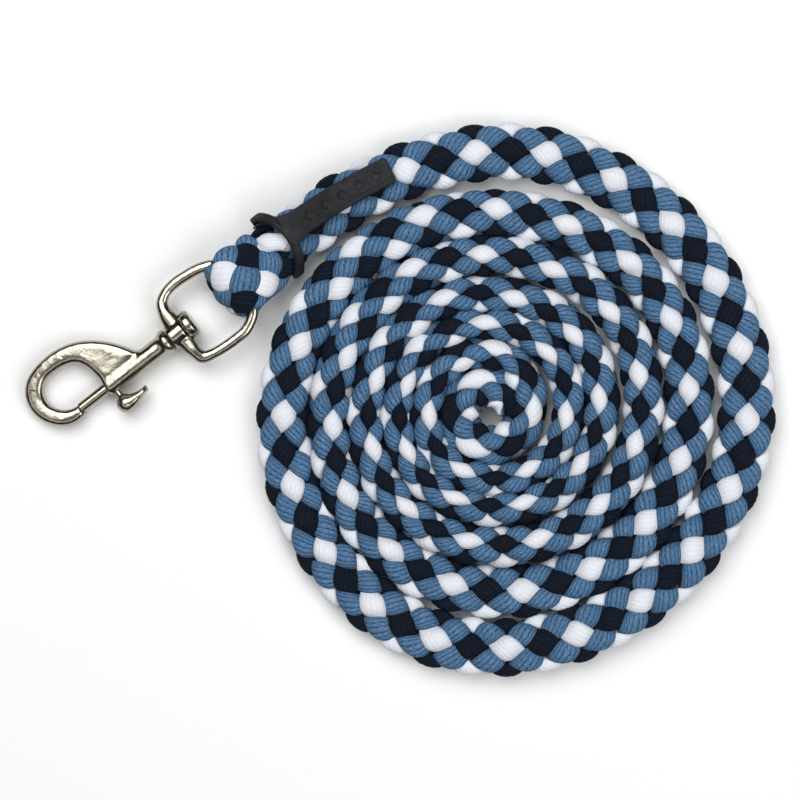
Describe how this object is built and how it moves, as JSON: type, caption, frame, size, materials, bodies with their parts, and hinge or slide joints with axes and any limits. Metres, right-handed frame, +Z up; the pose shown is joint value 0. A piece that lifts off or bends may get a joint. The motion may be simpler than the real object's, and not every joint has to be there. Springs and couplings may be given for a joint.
{
  "type": "lead rope",
  "caption": "Thick round-braided lead rope wound into a flat coil, with a rubber keeper tag and a swivel bolt snap in its eye.",
  "frame": {"origin": "middle of the coil's underside, on the surface the rope lies on", "axes": "+Z up off that surface; +X from the snap towards the coil; +Y towards the side where the rope leaves the keeper round the coil"},
  "size_m": [0.2819, 0.2071, 0.0227],
  "materials": {
    "nickel_plate": "nickel-plated casting, glossy",
    "spring_steel": "bright spring wire",
    "rubber": "moulded charcoal rubber, matt",
    "twine": "waxed navy twine",
    "rope_blue": "mid-blue knitted polypropylene strand",
    "rope_navy": "dark navy knitted polypropylene strand",
    "rope_white": "white knitted polypropylene strand"
  },
  "bodies": {
    "rope": {"rope_coil": "rope_blue", "rope_lead": "rope_blue", "rope_eye": "rope_blue", "eye_whipping": "twine", "rubber_keeper": "rubber"},
    "ring": {"swivel_ring": "nickel_plate"},
    "snap": {"snap_body": "nickel_plate", "swivel_rivet": "nickel_plate", "plunger_spring": "spring_steel"},
    "bolt": {"plunger": "nickel_plate", "thumb_knob": "nickel_plate"}
  },
  "joints": [
    {"name": "ring_in_eye", "type": "hinge", "parent": "rope", "child": "ring", "pos_m": [-0.09241, 0.04847, 0.0111], "axis": [-0.6088, 0.7934, 0], "range_deg": [-110, 110]},
    {"name": "swivel", "type": "hinge", "parent": "ring", "child": "snap", "pos_m": [-0.09241, 0.04847, 0.0111], "axis": [0.7904, 0.6065, 0.0863], "continuous": true},
    {"name": "bolt_slide", "type": "slide", "parent": "snap", "child": "bolt", "axis": [0.7904, 0.6065, 0.0863], "range_m": [0, 0.0105], "stiffness_N_per_m": 500, "springref_m": -0.008, "deforming": ["plunger_spring"]}
  ]
}
